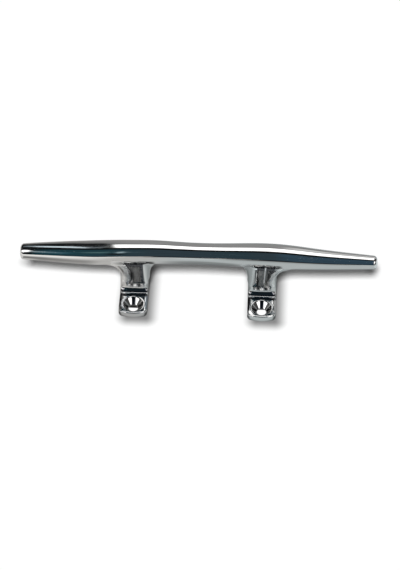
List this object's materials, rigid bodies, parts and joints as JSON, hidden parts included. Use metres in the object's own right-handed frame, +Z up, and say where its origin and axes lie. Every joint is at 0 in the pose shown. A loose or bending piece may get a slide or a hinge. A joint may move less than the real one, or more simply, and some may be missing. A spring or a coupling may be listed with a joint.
{
  "type": "boat cleat",
  "caption": "Low open-base boat cleat in polished stainless steel: a slender tapered horn on two waisted legs, each with a countersunk oblong foot.",
  "frame": {"origin": "on the deck plane under the feet, midway between the two legs and on the centre line of the horn", "axes": "+X along the horn, towards its slimmer arm; +Y across the horn, along the feet; +Z up from the deck"},
  "size_m": [0.25, 0.0576, 0.0451],
  "materials": {
    "polished_steel": "mirror polished"
  },
  "bodies": {
    "root": {"cleat": "polished_steel"}
  },
  "joints": []
}
